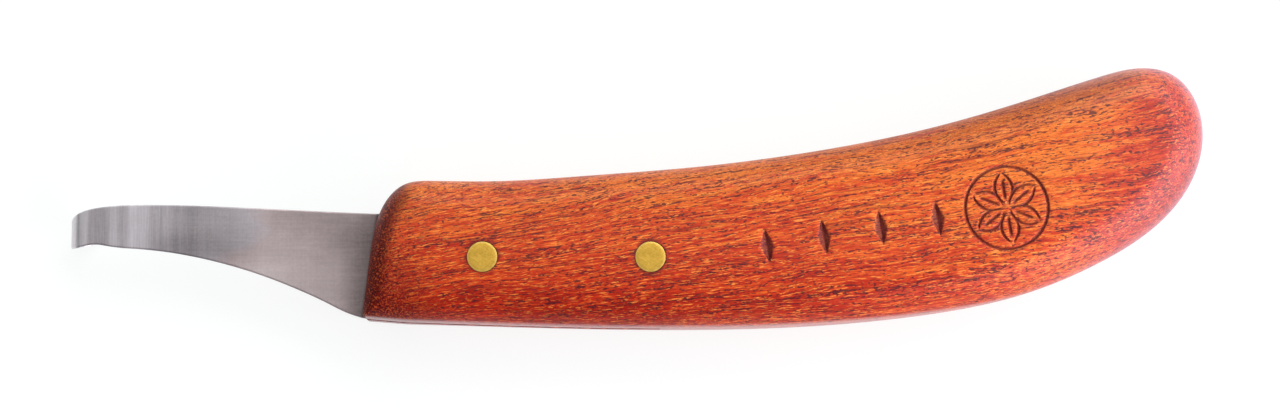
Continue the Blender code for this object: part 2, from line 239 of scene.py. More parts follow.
def spline(points, steps):
    """Points of a curve through the given points whose direction and curvature change smoothly."""
    knots = np.array(points)
    gaps = np.linalg.norm(np.diff(knots, axis=0), axis=1)
    count = len(knots)
    weights = np.zeros((count, count))
    rises = np.zeros_like(knots)
    weights[0, :2] = 2, 1
    rises[0] = 3 * (knots[1] - knots[0]) / gaps[0]
    weights[-1, -2:] = 1, 2
    rises[-1] = 3 * (knots[-1] - knots[-2]) / gaps[-1]
    for i in range(1, count - 1):
        before, after = 1 / gaps[i - 1], 1 / gaps[i]
        weights[i, i - 1 : i + 2] = before, 2 * (before + after), after
        rises[i] = 3 * ((knots[i] - knots[i - 1]) * before**2 + (knots[i + 1] - knots[i]) * after**2)
    tangents = np.linalg.solve(weights, rises)
    curve = [Vector(knots[0])]
    for i, gap in enumerate(gaps):
        start_handle = knots[i] + tangents[i] * gap / 3
        end_handle = knots[i + 1] - tangents[i + 1] * gap / 3
        curve += interpolate_bezier(knots[i], start_handle, end_handle, knots[i + 1], steps + 1)[1:]
    return curve


def height_on(curve, x):
    """The y at x of a curve that never turns back along X, held beyond its ends."""
    ordered = sorted(curve, key=lambda p: p.x)
    return float(np.interp(x, [p.x for p in ordered], [p.y for p in ordered]))


def inward_normals(loop):
    """For each corner of an anticlockwise loop, how far its inset moves for each millimetre of inset."""
    normals = []
    for i, point in enumerate(loop):
        arriving = (point - loop[i - 1]).normalized()
        leaving = (loop[(i + 1) % len(loop)] - point).normalized()
        first = Vector((-arriving.y, arriving.x))
        second = Vector((-leaving.y, leaving.x))
        normals.append((first + second) / (1 + first.dot(second)))
    return normals


def finish_mesh(name, shape):
    """The mesh of a bmesh given in millimetres, smooth but for its sharp edges."""
    bmesh.ops.recalc_face_normals(shape, faces=shape.faces)
    bmesh.ops.scale(shape, vec=(MM, MM, MM), verts=shape.verts)
    mesh = bpy.data.meshes.new(name)
    shape.to_mesh(mesh)
    shape.free()
    mesh.shade_smooth()
    mesh.set_sharp_from_angle(angle=SHARP_ANGLE)
    return mesh


def bridge(shape, lower, upper):
    """Faces between two closed rows of the same number of verts."""
    for i in range(len(lower)):
        j = (i + 1) % len(lower)
        shape.faces.new((lower[i], lower[j], upper[j], upper[i]))


def loft(name, rings):
    """A solid through rings of the same number of points, capped at its ends."""
    shape = bmesh.new()
    loops = [[shape.verts.new(point) for point in ring] for ring in rings]
    for lower, upper in zip(loops, loops[1:]):
        bridge(shape, lower, upper)
    shape.faces.new(reversed(loops[0]))
    shape.faces.new(loops[-1])
    return finish_mesh(name, shape)


def turned(name, profile):
    """A solid turned about Z from a profile of (radius, z) that starts and ends on the axis."""
    shape = bmesh.new()
    verts = [shape.verts.new((radius, 0, z)) for radius, z in profile]
    edges = [shape.edges.new(pair) for pair in zip(verts, verts[1:])]
    bmesh.ops.spin(
        shape,
        geom=verts + edges,
        cent=(0, 0, 0),
        axis=(0, 0, 1),
        angle=2 * math.pi,
        steps=ROUND_SEGMENTS,
        use_merge=True,
    )
    bmesh.ops.remove_doubles(shape, verts=shape.verts, dist=SAME_PLACE)
    return finish_mesh(name, shape)


def add_object(name, mesh, x=0.0, y=0.0):
    """A mesh object in the scene, with its origin at (x, y) on the floor."""
    obj = bpy.data.objects.new(name, mesh)
    obj.location = (x * MM, y * MM, 0)
    bpy.context.scene.collection.objects.link(obj)
    return obj


def cut_with(obj, cutters):
    """Cuts other objects out of an object, and removes them."""
    for cutter in cutters:
        modifier = obj.modifiers.new(cutter.name, "BOOLEAN")
        modifier.operation = "DIFFERENCE"
        modifier.object = cutter
    graph = bpy.context.evaluated_depsgraph_get()
    mesh = bpy.data.meshes.new_from_object(obj.evaluated_get(graph), depsgraph=graph)
    obj.modifiers.clear()
    obj.data = mesh
    for cutter in cutters:
        bpy.data.objects.remove(cutter)
    mesh.set_sharp_from_angle(angle=SHARP_ANGLE)


# ---------------------------------------------------------------- handle


def handle_loop():
    """The handle's outline as an anticlockwise loop of (x, y, rounding radius), from its sharp corner."""
    return [Vector(HANDLE_CORNER), *spline(HANDLE_OUTLINE, OUTLINE_STEPS)]


def shoulder(distance, radius):
    """How far the sanded shoulder falls below the flat side, at a distance in from the outline."""
    small, large = HANDLE_CORNER[2], max(p[2] for p in HANDLE_OUTLINE)
    share = (radius - small) / (large - small)
    drop = SHOULDER_DROP[0] + (SHOULDER_DROP[1] - SHOULDER_DROP[0]) * share
    return drop * np.clip(1 - distance / SHOULDER_REACH, 0, 1) ** 2


def distance_in(points, loop):
    """For each point, its distance to the loop (negative outside) and the rounding radius there."""
    starts = np.array([p[:] for p in loop])
    ends = np.roll(starts, -1, axis=0)
    runs = ends[:, :2] - starts[:, :2]
    lengths = (runs**2).sum(axis=1)
    distances, radii = np.empty(len(points)), np.empty(len(points))
    for i, point in enumerate(points):
        offset = point - starts[:, :2]
        share = np.clip((offset * runs).sum(axis=1) / lengths, 0, 1)
        gap = offset - runs * share[:, None]
        squared = (gap**2).sum(axis=1)
        near = squared.argmin()
        side = runs[near, 0] * offset[near, 1] - runs[near, 1] * offset[near, 0]
        distances[i] = math.copysign(math.sqrt(squared[near]), side)
        radii[i] = starts[near, 2] + (ends[near, 2] - starts[near, 2]) * share[near]
    return distances, radii


def soften(value, width):
    """Zero below zero and value above it, with a smooth bend of that width between."""
    return (value + np.sqrt(value**2 + width**2)) / 2


def chip_depth(across, half_width, to_end, end_run, deepest):
    """Depth of a V-shaped cut, shallower over end_run towards its ends, negative beyond its rim."""
    wall = 1 - np.sqrt(across**2 + (CARVING_WEAR * 2) ** 2) / np.maximum(half_width, NARROWEST_CUT)
    depth = deepest * np.clip(to_end / end_run, 0, 1) * np.clip(wall, -1, 1)
    return np.where(to_end > 0, depth, -CUT_DEPTH)


def groove(across, along, start, end):
    """Depth of a narrow V-shaped groove from start to end, which fades out at both."""
    to_end = np.minimum(along - start, end - along)
    return chip_depth(across, GROOVE_HALF_WIDTH, to_end, GROOVE_HALF_WIDTH * 2, GROOVE_DEPTH)


def carved_depth(points):
    """How deep the ornament is cut at each (x, y)."""
    forward = np.array((math.cos(ORNAMENT_SLOPE), math.sin(ORNAMENT_SLOPE)))
    left = np.array((-forward[1], forward[0]))
    offset = points - np.array(ORNAMENT_START)
    along, across = offset @ forward, offset @ left
    depth = np.full(len(points), -CUT_DEPTH)
    for i in range(LOZENGE_COUNT):
        tall = np.abs(across)
        half_width = LOZENGE_HALF_WIDTH * (1 - tall / LOZENGE_HALF_HEIGHT)
        to_end = LOZENGE_HALF_HEIGHT - tall
        chip = chip_depth(along - LOZENGE_PITCH * i, half_width, to_end, LOZENGE_HALF_WIDTH, CUT_DEPTH)
        depth = np.maximum(depth, chip)
    along = along - ROSETTE_DISTANCE
    for i in range(PETAL_COUNT):
        turn = math.pi / 2 + 2 * math.pi * i / PETAL_COUNT
        out = along * math.cos(turn) + across * math.sin(turn)
        aside = np.abs(across * math.cos(turn) - along * math.sin(turn))
        depth = np.maximum(depth, groove(aside, out, RIB_INNER, RIB_OUTER))
        share = (out - PETAL_INNER) / (PETAL_OUTER - PETAL_INNER)
        edge = PETAL_HALF_WIDTH * 4 * share * (1 - share)  # a parabola, as wide as the petal halfway out
        depth = np.maximum(depth, groove(aside - edge, out, PETAL_INNER, PETAL_OUTER))
    ring = np.hypot(along, across) - RING_RADIUS
    depth = np.maximum(depth, chip_depth(ring, GROOVE_HALF_WIDTH, 1.0, 1.0, GROOVE_DEPTH))
    return soften(depth, CARVING_WEAR) - soften(np.array(-CUT_DEPTH), CARVING_WEAR)


def side_grid(loop, fine):
    """Points of one side of the handle, inside its rounding, on a grid that is finer where it is carved."""
    xs, ys = [p.x for p in loop], [p.y for p in loop]

    def grid(low_x, high_x, low_y, high_y, pitch):
        columns, rows = np.meshgrid(np.arange(low_x, high_x, pitch), np.arange(low_y, high_y, pitch))
        columns[::2] += pitch / 2
        return np.stack((columns.ravel(), rows.ravel()), axis=1)

    points = grid(min(xs), max(xs), min(ys), max(ys), COARSE_GRID)
    if fine:
        start = ORNAMENT_START
        reach = RING_RADIUS + ORNAMENT_MARGIN
        low_x, high_x = start.x - 2 * ORNAMENT_MARGIN, start.x + ROSETTE_DISTANCE + reach
        area = grid(low_x, high_x, start.y - reach, start.y + 2 * reach, FINE_GRID)
        carved = area[carved_depth(area) > SHALLOWEST_CUT]
        cells = {tuple(cell) for cell in np.round(carved / COARSE_GRID).astype(int)}
        keep = [tuple(cell) not in cells for cell in np.round(points / COARSE_GRID).astype(int)]
        points = np.concatenate((points[keep], carved))
    distances, radii = distance_in(points, loop)
    return points[distances > radii + RING_CLEARANCE]


def add_side(shape, loop, normals, upper):
    """One side of the handle, from its straight edge inwards. Returns the rings of its rounding."""
    sign = 1 if upper else -1
    rings = []
    for angle in [0.0, *spaced(0.0, math.radians(90), ROUNDING_STEPS)]:
        ring = []
        for point, normal in zip(loop, normals):
            radius = point.z
            distance = radius * (1 - math.cos(angle))
            inset = point.xy + normal * distance
            rise = MID_PLANE - radius * (1 - math.sin(angle)) - float(shoulder(distance, radius))
            ring.append(shape.verts.new((*inset, MID_PLANE + sign * rise)))
        rings.append(ring)
    for outer, inner in zip(rings, rings[1:]):
        bridge(shape, outer, inner)

    border = [v.co.xy for v in rings[-1]]
    points = side_grid(loop, fine=upper)
    distances, radii = distance_in(points, loop)
    rise = MID_PLANE - shoulder(distances, radii)
    if upper:
        rise -= carved_depth(points)
    inner_verts = [shape.verts.new((x, y, MID_PLANE + sign * z)) for (x, y), z in zip(points, rise)]
    verts = rings[-1] + inner_verts
    count = len(border)
    edges = [(i, (i + 1) % count) for i in range(count)]
    flat = border + [Vector(p) for p in points]
    inside_only, epsilon = 1, 1e-5
    _, _, faces, sources, *_ = delaunay_2d_cdt(flat, edges, [], inside_only, epsilon)
    for face in faces:
        shape.faces.new([verts[sources[i][0]] for i in face])
    return rings


def slot_cutter():
    """The saw kerf for the tang: blind above and behind, open in front and below."""
    stations = tang_stations()
    front_x, floor_y = HANDLE_CORNER[0] - SLOT_OVERSHOOT, HANDLE_CORNER[1] - SLOT_OVERSHOOT
    foot_x = TANG_END_X - TANG_BOTTOM_RADIUS + FIT_GAP
    outline = [(x + FIT_GAP, tang_top(x) + FIT_GAP) for x in stations]
    outline += [(front_x, tang_top(NECK_X) + FIT_GAP), (front_x, floor_y), (foot_x, floor_y)]
    outline += [(x + FIT_GAP, tang_bottom(x)) for x in reversed(stations) if x + FIT_GAP > foot_x]
    half = TANG_THICKNESS / 2 + FIT_GAP
    mesh = loft("slot", [[(x, y, MID_PLANE + z) for x, y in outline] for z in (-half, half)])
    return add_object("slot_cutter", mesh)


def pin_profile(gap=0.0, overshoot=0.0):
    """The profile of a peened pin, or with a gap and an overshoot that of its hole."""
    low = PIN_FLUSH_DEPTH
    high = HANDLE_THICKNESS - PIN_FLUSH_DEPTH
    shank, head = PIN_RADIUS + gap, PIN_HEAD_RADIUS + gap
    profile = [
        (0, low - overshoot),
        (head, low - overshoot),
        (head, low),
        (shank, low + PIN_HEAD_DEPTH),
        (shank, high - PIN_HEAD_DEPTH),
        (head, high),
        (head, high + overshoot),
        (0, high + overshoot),
    ]
    return list(dict.fromkeys(profile))


def hole_cutters():
    """A cutter for each pin's hole."""
    mesh = turned("pin_hole", pin_profile(FIT_GAP, HOLE_OVERSHOOT))
    return [add_object(f"{name}_hole", mesh, x, y) for name, (x, y) in PIN_CENTRES.items()]


def mark_carving(mesh):
    """Writes how deep each vertex lies in the ornament, from 0 to 1, for the material."""
    places = np.empty(len(mesh.vertices) * 3)
    mesh.vertices.foreach_get("co", places)
    places = places.reshape(-1, 3) / MM
    depth = np.where(places[:, 2] > MID_PLANE, carved_depth(places[:, :2]), 0.0)
    mesh.attributes.new("carved", "FLOAT", "POINT").data.foreach_set("value", depth / CUT_DEPTH)


def make_handle():
    """The wooden handle, with its slot, its pin holes and its ornament."""
    loop = handle_loop()
    normals = inward_normals([p.xy for p in loop])
    shape = bmesh.new()
    top = add_side(shape, loop, normals, upper=True)
    bottom = add_side(shape, loop, normals, upper=False)
    rows = [bottom[0]]
    for share in spaced(0, 1, SIDE_STEPS)[:-1]:
        rows.append([shape.verts.new(low.co.lerp(high.co, share)) for low, high in zip(bottom[0], top[0])])
    rows.append(top[0])
    for lower, upper in zip(rows, rows[1:]):
        bridge(shape, lower, upper)
    bmesh.ops.recalc_face_normals(shape, faces=shape.faces)
    corner_line = [ring[0] for ring in [*reversed(bottom), *rows[1:-1], *top]]
    corner_edges = [shape.edges.get(pair) for pair in zip(corner_line, corner_line[1:])]
    bmesh.ops.bevel(
        shape,
        geom=corner_edges,
        offset=CORNER_BEVEL,
        offset_type="OFFSET",
        segments=CORNER_STEPS,
        profile=0.5,
        affect="EDGES",
        clamp_overlap=True,
    )
    # Coincident points would leave the exact Boolean solver's result to chance
    bmesh.ops.remove_doubles(shape, verts=shape.verts, dist=SAME_PLACE)
    handle = add_object("redwood_handle", finish_mesh("redwood_handle", shape))
    cut_with(handle, [slot_cutter(), *hole_cutters()])
    mark_carving(handle.data)
    return handle


# ---------------------------------------------------------------- blade


def tang_top(x):
    """The y of the tang's upper edge, which slopes to a rounded rear corner."""
    front_y = SPINE[0][1]
    slope = (TANG_TOP_REAR_Y - front_y) / (TANG_END_X - NECK_X)
    into_corner = max(0.0, x - (TANG_END_X - TANG_TOP_RADIUS))
    drop = TANG_TOP_RADIUS - math.sqrt(TANG_TOP_RADIUS**2 - into_corner**2)
    return front_y + slope * (x - NECK_X) - drop


def handle_underside():
    """The straight front run and the curve of the handle's lower edge."""
    return [Vector(HANDLE_CORNER), *spline(HANDLE_OUTLINE, OUTLINE_STEPS)[: UNDERSIDE_SPANS * OUTLINE_STEPS]]


UNDERSIDE = handle_underside()


def tang_bottom(x):
    """The y of the tang's lower edge, flush with the handle until it rises round its rear corner."""
    flush = height_on(UNDERSIDE, x) + EASED_CORNER / 2
    into_corner = max(0.0, x - (TANG_END_X - TANG_BOTTOM_RADIUS))
    return flush + TANG_BOTTOM_RADIUS - math.sqrt(TANG_BOTTOM_RADIUS**2 - into_corner**2)


def tang_stations():
    """Places along the tang, from its end to the heel, closer together where its rear corners are round."""
    angles = spaced(0, math.pi / 2, TANG_CORNER_STEPS)
    around = [TANG_END_X - TANG_BOTTOM_RADIUS * (1 - math.cos(angle)) for angle in angles]
    return [TANG_END_X, *around, *spaced(around[-1], NECK_X, TANG_STEPS)]


def bend(length):
    """Where a place on the blade's developed length lies: x, z, and the angle turned from -X towards -Z."""
    along = BEND_START_X - length
    if along <= 0:
        return length, MID_PLANE, 0.0
    x, z, turn = BEND_START_X, MID_PLANE, 0.0
    for radius, angle in ((BEND_LENGTH / BEND_ANGLE, BEND_ANGLE), (HOOK_RADIUS, HOOK_ANGLE)):
        step = min(along / radius, angle)
        x -= radius * (math.sin(turn + step) - math.sin(turn))
        z -= radius * (math.cos(turn) - math.cos(turn + step))
        turn += step
        along -= step * radius
        if along <= 0:
            return x, z, turn
    return x - along * math.cos(turn), z - along * math.sin(turn), turn


def rounded(corners):
    """A closed outline of (y, out, radius) corners, rounded, with a point just beyond each rounding."""
    outline = []
    for i, (y, out, radius) in enumerate(corners):
        corner = Vector((y, out))
        before = Vector(corners[i - 1][:2])
        after = Vector(corners[(i + 1) % len(corners)][:2])
        back, ahead = before - corner, after - corner
        start = corner + back.normalized() * min(radius, back.length * ROUNDING_SHARE)
        end = corner + ahead.normalized() * min(radius, ahead.length * ROUNDING_SHARE)
        outline.append(start + back.normalized() * min(SUPPORT_GAP, back.length * SUPPORT_SHARE))
        for step in range(SECTION_CORNER_STEPS + 1):
            t = step / SECTION_CORNER_STEPS
            outline.append(start * (1 - t) ** 2 + corner * 2 * t * (1 - t) + end * t**2)
        outline.append(end + ahead.normalized() * min(SUPPORT_GAP, ahead.length * SUPPORT_SHARE))
    return outline


def blade_section(length, spine_y, edge_y):
    """One cross-section of the strip: a flat outer face, and a bevel ground into the inner face."""
    hook_start = BEND_START_X - BEND_LENGTH
    taper = min(1.0, max(0.0, (length - hook_start) / (HEEL_X - hook_start)))
    half = (HOOK_THICKNESS + (TANG_THICKNESS - HOOK_THICKNESS) * taper) / 2
    ground = min(1.0, max(0.0, (HEEL_X - length) / BEVEL_RUN_IN))
    bevel = EASED_CORNER + (BEVEL_WIDTH - EASED_CORNER) * ground
    bevel = min(bevel, BEVEL_SHARE * (spine_y - edge_y))
    facet = min(FACET_WIDTH, FACET_SHARE * (spine_y - edge_y))
    blunt = 2 * half - EASED_CORNER
    edge_thickness = blunt + (EDGE_THICKNESS - blunt) * ground
    corners = [
        (spine_y, half, EASED_CORNER),
        (edge_y + facet, half, EASED_CORNER / 4),
        (edge_y, half - FACET_DEPTH, EASED_CORNER / 4),
        (edge_y, half - edge_thickness, EASED_CORNER / 4),
        (edge_y + bevel, -half, EASED_CORNER),
        (spine_y, -half, EASED_CORNER),
    ]
    x, z, turn = bend(length)
    return [(x - p.y * math.sin(turn), p.x, z + p.y * math.cos(turn)) for p in rounded(corners)]


def make_blade():
    """Tang, blade and hook in one strip of steel."""
    spine, edge = spline(SPINE, BLADE_CURVE_STEPS), spline(EDGE, BLADE_CURVE_STEPS)
    sections = [blade_section(x, tang_top(x), tang_bottom(x)) for x in tang_stations()]
    hook_start = BEND_START_X - BEND_LENGTH
    hook_end = hook_start - HOOK_RADIUS * HOOK_ANGLE
    lengths = [HEEL_X, *spaced(HEEL_X, BEND_START_X, FLAT_STEPS)]
    lengths += spaced(BEND_START_X, hook_start, BEND_STEPS) + spaced(hook_start, hook_end, HOOK_STEPS)
    sections += [blade_section(x, height_on(spine, x), height_on(edge, x)) for x in lengths]
    top, bottom = height_on(spine, hook_end), height_on(edge, hook_end)
    for angle in spaced(0, HOOK_TIP_ANGLE, TIP_STEPS):
        narrowing = (top - bottom) / 2 * (1 - math.cos(angle))
        length = hook_end - HOOK_TIP_LENGTH * math.sin(angle)
        sections.append(blade_section(length, top - narrowing, bottom + narrowing))
    blade = add_object("steel_blade", loft("steel_blade", sections))
    cut_with(blade, hole_cutters())
    return blade


# ---------------------------------------------------------------- pins


def make_pins():
    """The two brass pins, their ends peened into shallow countersinks and ground flush."""
    low = PIN_FLUSH_DEPTH
    profile = [(0, low), (PIN_HEAD_RADIUS * PIN_FLAT_SHARE, low)]
    profile += [(PIN_HEAD_RADIUS - inset, low + fall) for inset, fall in PIN_RIM]
    profile.append((PIN_RADIUS, low + PIN_HEAD_DEPTH))
    profile += [(radius, HANDLE_THICKNESS - z) for radius, z in reversed(profile)]
    mesh = turned("brass_pin", profile)
    return {name: add_object(f"brass_{name}", mesh, x, y) for name, (x, y) in PIN_CENTRES.items()}


# ---------------------------------------------------------------- materials


def connect(tree, target, inputs):
    """Sets inputs of a node, each by name or number, to a value or to another node's output."""
    for key, value in inputs.items():
        if isinstance(value, bpy.types.NodeSocket):
            tree.links.new(value, target.inputs[key])
        else:
            target.inputs[key].default_value = value


def node(tree, kind, inputs, **settings):
    """Adds a node with these inputs and settings."""
    made = tree.nodes.new(kind)
    for key, value in settings.items():
        setattr(made, key, value)
    connect(tree, made, inputs)
    return made


def math_node(tree, operation, *values, clamp=False):
    """The result of a Math node."""
    made = node(tree, "ShaderNodeMath", dict(enumerate(values)), operation=operation, use_clamp=clamp)
    return made.outputs[0]


def times(tree, first, second):
    """The product of two values."""
    return math_node(tree, "MULTIPLY", first, second)


def scale_add(tree, value, factor, added):
    """The value times the factor, plus what is added."""
    return math_node(tree, "MULTIPLY_ADD", value, factor, added)


def about_zero(tree, value):
    """A noise's value, moved from around a half to around zero."""
    return math_node(tree, "SUBTRACT", value, 0.5)


def parts_of(tree, vector):
    """The three coordinates of a vector."""
    return node(tree, "ShaderNodeSeparateXYZ", {0: vector}).outputs


def mix_colour(tree, factor, first, second):
    """The result of mixing two colours: the first at 0 and the second at 1."""
    inputs = {0: factor, 6: first, 7: second}
    return node(tree, "ShaderNodeMix", inputs, data_type="RGBA").outputs[2]


def ramp(tree, factor, stops):
    """A colour ramp through stops of (position, colour)."""
    made = node(tree, "ShaderNodeValToRGB", {0: factor})
    elements = made.color_ramp.elements
    while len(elements) < len(stops):
        elements.new(0.5)
    for element, (position, colour) in zip(elements, stops):
        element.position = position
        element.color = (*colour, 1.0)
    return made.outputs[0]


def grey_ramp(tree, factor, stops):
    """A ramp of greys through stops of (position, level)."""
    return ramp(tree, factor, [(position, (level, level, level)) for position, level in stops])


def band(tree, value, low, high, curve="SMOOTHSTEP"):
    """0 at low, 1 at high, and smooth between. It runs downwards if high is the lower of the two."""
    inputs = {"Value": value, "From Min": low, "From Max": high}
    return node(tree, "ShaderNodeMapRange", inputs, interpolation_type=curve, clamp=True).outputs[0]


def noise(tree, vector, scale, detail, roughness=0.5):
    """The value of a 3-D noise."""
    inputs = {"Vector": vector, "Scale": scale, "Detail": detail, "Roughness": roughness}
    return node(tree, "ShaderNodeTexNoise", inputs).outputs[0]


def stretched_noise(tree, parts, lengths, shift=0.0, detail=1.0, roughness=0.5):
    """A noise with its own feature length along each of three coordinates. A shift gives another pattern."""
    scaled = [scale_add(tree, part, 1 / length, shift) for part, length in zip(parts, lengths)]
    vector = node(tree, "ShaderNodeCombineXYZ", dict(enumerate(scaled))).outputs[0]
    return noise(tree, vector, 1.0, detail, roughness)


def add_bump(tree, shader, height, strength, distance):
    """Makes the shader's surface look raised where the height is larger."""
    bump = node(tree, "ShaderNodeBump", {"Strength": strength, "Distance": distance, "Height": height})
    connect(tree, shader, {"Normal": bump.outputs[0]})


def new_material(name):
    """An empty material with its Principled shader, and the object's coordinates in millimetres."""
    material = bpy.data.materials.new(name)
    material.use_nodes = True
    tree = material.node_tree
    shader = tree.nodes["Principled BSDF"]
    metres = node(tree, "ShaderNodeTexCoord", {}).outputs["Object"]
    place = node(tree, "ShaderNodeVectorMath", {0: metres, 3: 1 / MM}, operation="SCALE").outputs[0]
    return material, tree, shader, place


def grain_coordinates(tree, x, y, z):
    """Coordinates along, across and through the grain, and the straight one across it without its waves."""
    centre = scale_add(tree, x, 0.16, -9.0)  # the grain rises towards the butt
    spread = scale_add(tree, x, 0.0045, 1.1)  # and fans out
    straight = math_node(tree, "DIVIDE", math_node(tree, "SUBTRACT", y, centre), spread)
    wander = stretched_noise(tree, (x, straight, z), (26.0, 9.0, 9.0))
    ripple = stretched_noise(tree, (x, straight, z), (2.6, 1.4, 1.4), 7.0)
    across = scale_add(tree, wander, 2.6, straight)
    across = scale_add(tree, ripple, 0.36, across)
    return straight, (x, across, z)


def growth_layers(tree, x, straight, grain, veins, shaded_low_front):
    """The wood's broad tone, lighter towards the upper edge and the butt but for the butt's very end: partly
    its own colour, partly painted light, with painted shade low in front.
    """
    layers = stretched_noise(tree, grain, (60.0, 3.4, 6.0), 3.0, 3.0, 0.6)
    threads = stretched_noise(tree, grain, (6.0, 0.34, 0.34), 23.0, 2.0, 0.6)
    tone = scale_add(tree, veins, 0.55, times(tree, layers, 0.45))
    tone = scale_add(tree, about_zero(tree, threads), 0.75, tone)
    # painted light, partly the wood's own tone: lighter towards the upper edge and towards the butt
    tone = scale_add(tree, straight, 0.015, tone)
    tone = math_node(tree, "ADD", scale_add(tree, x, 0.0024, tone), 0.01)
    tone = scale_add(tree, band(tree, x, 74.0, 102.0), -0.45, tone)
    # painted shade low in front
    tone = scale_add(tree, shaded_low_front, -0.07, tone)
    return ramp(tree, tone, WOOD_TONES)


def add_fibres(tree, colour, strands, butt, shaded_low_front):
    """Light fibres between dull ones. The light ones are fainter at the butt, and low in front as painted
    shade.
    """
    light = scale_add(tree, butt, -0.35, 0.85)
    # painted shade low in front
    light = scale_add(tree, shaded_low_front, -0.30, light)
    light = times(tree, band(tree, strands, 0.55, 0.66), light)
    colour = mix_colour(tree, light, colour, LIGHT_FIBRE)
    dull = times(tree, band(tree, strands, 0.46, 0.34), 0.6)
    return mix_colour(tree, dull, colour, DULL_FIBRE)


def add_seams(tree, colour, grain):
    """Long dark lines between growth layers."""
    seams = stretched_noise(tree, grain, (24.0, 0.32, 0.5), 41.0)
    seams = times(tree, band(tree, seams, 0.61, 0.70), 0.55)
    return mix_colour(tree, seams, colour, DARK_SEAM)


def wood_pores(tree, grain):
    """Fine and coarse dashes along the grain, crowded in patches: 1 inside a pore and 0 outside."""
    crowding = stretched_noise(tree, grain, (14.0, 0.42, 0.6), 19.0, 2.0, 0.6)
    layers = []
    for lengths, rarity, shift in (((0.85, 0.21, 0.21), 0.89, 0.0), ((2.0, 0.23, 0.23), 0.94, 31.0)):
        cells = stretched_noise(tree, grain, lengths, shift)
        layers.append(band(tree, scale_add(tree, crowding, 0.6, cells), rarity, rarity + 0.07))
    return math_node(tree, "MAXIMUM", *layers)


def soaked_and_shaded_wood(tree, x, y, speckle, facing_x):
    """Where the front is darker: end grain that has drunk more oil where the fibres are cut across, with
    painted shade on faces turned towards -X, and painted shade low beside it.
    """
    # end grain drunk with oil, and painted shade on faces turned towards -X
    cut_across = band(tree, scale_add(tree, speckle, -0.5, facing_x), -0.20, -0.80)
    # painted shade low at the front corner
    low_corner_shade = band(tree, scale_add(tree, y, 0.6, x), -42.0, -60.0)
    return math_node(tree, "MAXIMUM", times(tree, cut_across, 0.9), times(tree, low_corner_shade, 0.85))


def add_end_grain(tree, colour, x, speckle, soaked_and_shaded):
    """Dark wood where it is soaked and where shade is painted, with light specks, and small dark hollows
    near the front.
    """
    colour = mix_colour(tree, soaked_and_shaded, colour, SOAKED_AND_SHADED_WOOD)
    specks = times(tree, band(tree, speckle, 0.55, 0.64), times(tree, soaked_and_shaded, 0.75))
    colour = mix_colour(tree, specks, colour, END_GRAIN_SPECK)
    hollows = times(tree, band(tree, speckle, 0.43, 0.36), band(tree, x, -34.0, -46.0))
    return mix_colour(tree, times(tree, hollows, 0.8), colour, END_GRAIN_HOLLOW)


def add_old_oil_and_carving_shade(tree, colour, x, y, veins):
    """Painted shade in the carving, and old oil round the pins."""
    strength = 0.75
    carved = node(tree, "ShaderNodeAttribute", {}, attribute_name="carved").outputs["Fac"]
    # painted shade in the carving, darker where it is cut deeper
    oil_and_shade = times(tree, band(tree, carved, 0.0, 0.5), strength)
    flat = node(tree, "ShaderNodeCombineXYZ", {0: x, 1: y}).outputs[0]
    for centre_x, centre_y in PIN_CENTRES.values():
        inputs = {0: flat, 1: (centre_x, centre_y, 0)}
        reach = node(tree, "ShaderNodeVectorMath", inputs, operation="DISTANCE").outputs["Value"]
        ring = band(tree, scale_add(tree, veins, 3.0, reach), 5.0, 4.0)
        oil_and_shade = math_node(tree, "MAXIMUM", oil_and_shade, times(tree, ring, strength))
    return mix_colour(tree, oil_and_shade, colour, OLD_OIL_AND_SHADE)


def redwood_gloss(tree, x, y, facing_y, butt, shaded_low_front, soaked_and_shaded):
    """The shader's inputs for the oil's shine: a coat, a haze and the butt's lilac sheen."""
    lower_side = band(tree, facing_y, -0.93, -0.995)
    coat = scale_add(tree, butt, 0.40, 0.26)
    coat = scale_add(tree, soaked_and_shaded, -0.22, coat)
    coat = scale_add(tree, shaded_low_front, -0.10, coat)
    coat = scale_add(tree, lower_side, 0.85, coat)
    upper_half = band(tree, scale_add(tree, x, 0.08, y), -18.0, -6.0)
    hazy = math_node(tree, "MAXIMUM", upper_half, lower_side)
    return {
        "Coat Weight": coat,
        "Coat Roughness": 0.42,
        "Specular IOR Level": scale_add(tree, hazy, 0.12, 0.08),
        "Sheen Weight": scale_add(tree, butt, 0.38, times(tree, hazy, 0.07)),
        "Sheen Roughness": 0.5,
        "Sheen Tint": LILAC_SHEEN,
    }


